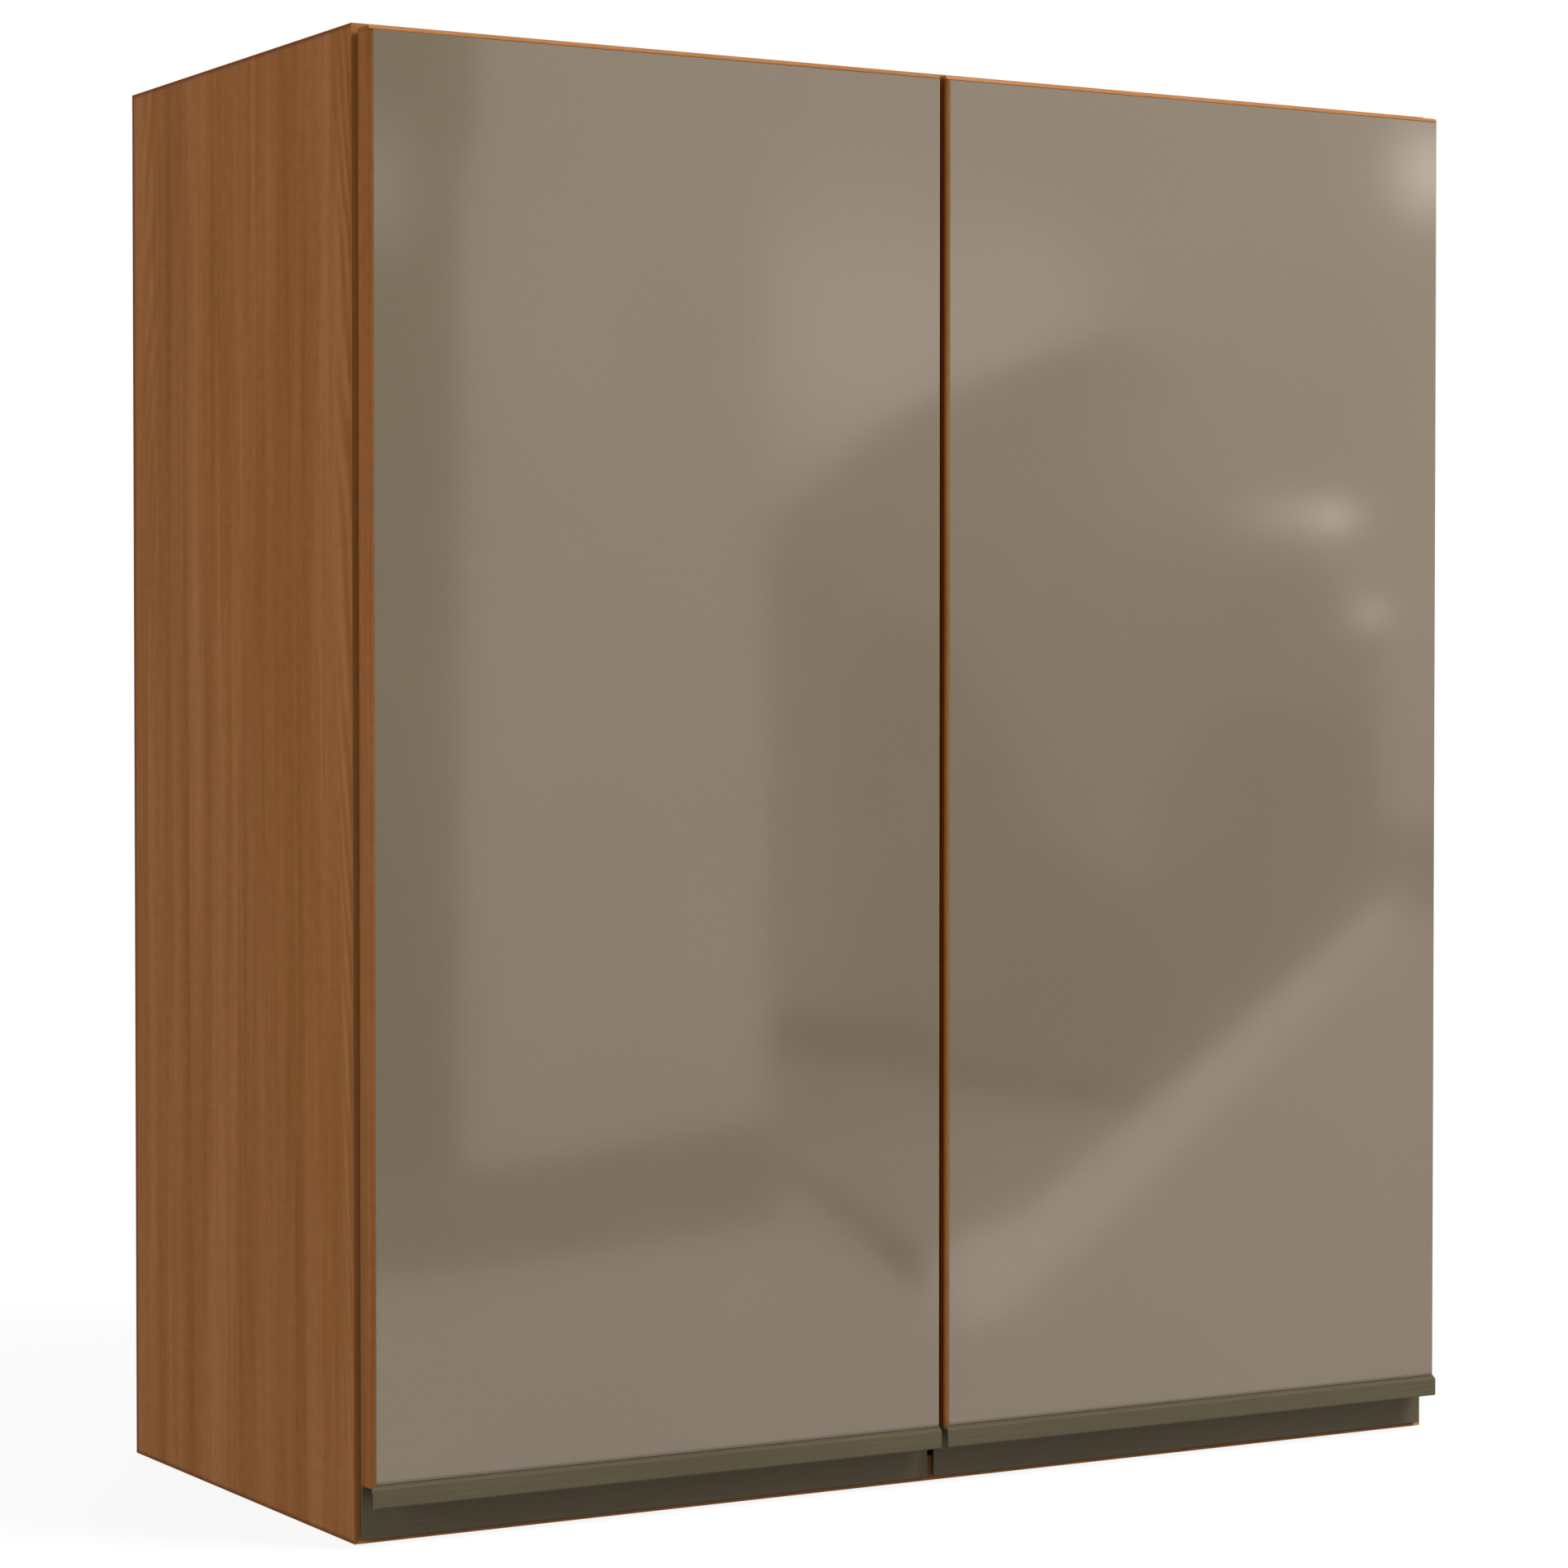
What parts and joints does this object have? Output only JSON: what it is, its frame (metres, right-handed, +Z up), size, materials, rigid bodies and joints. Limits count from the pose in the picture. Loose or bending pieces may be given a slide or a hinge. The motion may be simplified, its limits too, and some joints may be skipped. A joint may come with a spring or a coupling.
{
  "type": "wall-hung kitchen cabinet",
  "caption": "Wall-hung cupboard with hinged gloss doors, full-width finger-pull profiles and an adjustable shelf inside, in a wood-grain carcass.",
  "frame": {"origin": "middle of the footprint, doors and handle profiles included, at the underside of the carcass", "axes": "+Z up, +Y towards the wall, doors face -Y, +X to the right of a person facing the doors"},
  "size_m": [0.6, 0.276, 0.672],
  "materials": {
    "wood_board": "satin wood-grain laminate on particle board",
    "wood_edge": "satin wood-grain edge band",
    "rail_board": "satin wood-grain laminate on particle board",
    "back_board": "wood-grain face on thin fibreboard",
    "gloss_face": "high-gloss taupe lacquered laminate",
    "bronze_profile": "satin olive-bronze anodised",
    "hinge_steel": "nickel-plated pressed steel",
    "dark_steel": "plain steel pins and screws",
    "cam_zinc": "die-cast zinc",
    "dowel_wood": "plain hardwood",
    "bumper_plastic": "soft translucent plastic"
  },
  "bodies": {
    "carcass": {"side_panel_left": "wood_board", "side_panel_right": "wood_board", "top_panel": "wood_board", "bottom_panel": "wood_board", "back_panel": "back_board", "shelf": "wood_board", "upper_rail": "rail_board", "lower_rail": "rail_board", "carcass_front_bands": "wood_edge", "shelf_front_band": "wood_edge", "shelf_pins": "hinge_steel", "cam_bolts": "dark_steel", "cam_locks": "cam_zinc", "dowels": "dowel_wood", "left_mounting_plates": "hinge_steel", "left_plate_screws": "dark_steel", "left_hinge_arms": "hinge_steel", "left_arm_screws": "dark_steel", "left_arm_pins": "dark_steel", "right_mounting_plates": "hinge_steel", "right_plate_screws": "dark_steel", "right_hinge_arms": "hinge_steel", "right_arm_screws": "dark_steel", "right_arm_pins": "dark_steel"},
    "left_inner_links": {"left_inner_links": "hinge_steel"},
    "left_outer_links": {"left_outer_links": "hinge_steel"},
    "left_door": {"left_door_panel": "wood_board", "left_door_face": "gloss_face", "left_door_bands": "wood_edge", "left_handle_profile": "bronze_profile", "left_handle_screws": "dark_steel", "left_door_bumpers": "bumper_plastic", "left_hinge_cups": "hinge_steel", "left_cup_pins": "dark_steel", "left_cup_screws": "dark_steel"},
    "right_inner_links": {"right_inner_links": "hinge_steel"},
    "right_outer_links": {"right_outer_links": "hinge_steel"},
    "right_door": {"right_door_panel": "wood_board", "right_door_face": "gloss_face", "right_door_bands": "wood_edge", "right_handle_profile": "bronze_profile", "right_handle_screws": "dark_steel", "right_door_bumpers": "bumper_plastic", "right_hinge_cups": "hinge_steel", "right_cup_pins": "dark_steel", "right_cup_screws": "dark_steel"}
  },
  "joints": [
    {"name": "left_inner_link_turn", "type": "hinge", "parent": "carcass", "child": "left_inner_links", "pos_m": [-0.2717, -0.1176, 0.348], "axis": [0, 0, 1], "range_deg": [0, 42.83]},
    {"name": "left_door_swing", "type": "hinge", "parent": "left_inner_links", "child": "left_door", "pos_m": [-0.288, -0.126, 0.348], "axis": [0, 0, -1], "range_deg": [0, 137.5]},
    {"name": "left_outer_link_turn", "type": "hinge", "parent": "carcass", "child": "left_outer_links", "pos_m": [-0.264, -0.1278, 0.348], "axis": [0, 0, 1], "range_deg": [0, 45.58]},
    {"name": "right_inner_link_turn", "type": "hinge", "parent": "carcass", "child": "right_inner_links", "pos_m": [0.2717, -0.1176, 0.348], "axis": [0, 0, -1], "range_deg": [0, 42.83]},
    {"name": "right_door_swing", "type": "hinge", "parent": "right_inner_links", "child": "right_door", "pos_m": [0.288, -0.126, 0.348], "axis": [0, 0, 1], "range_deg": [0, 137.5]},
    {"name": "right_outer_link_turn", "type": "hinge", "parent": "carcass", "child": "right_outer_links", "pos_m": [0.264, -0.1278, 0.348], "axis": [0, 0, -1], "range_deg": [0, 45.58]}
  ],
  "couplings": [
    {"joint": "left_inner_link_turn", "follows": "left_door_swing", "ratio": 0.31},
    {"joint": "left_outer_link_turn", "follows": "left_door_swing", "ratio": 0.33},
    {"joint": "right_inner_link_turn", "follows": "right_door_swing", "ratio": 0.31},
    {"joint": "right_outer_link_turn", "follows": "right_door_swing", "ratio": 0.33}
  ]
}
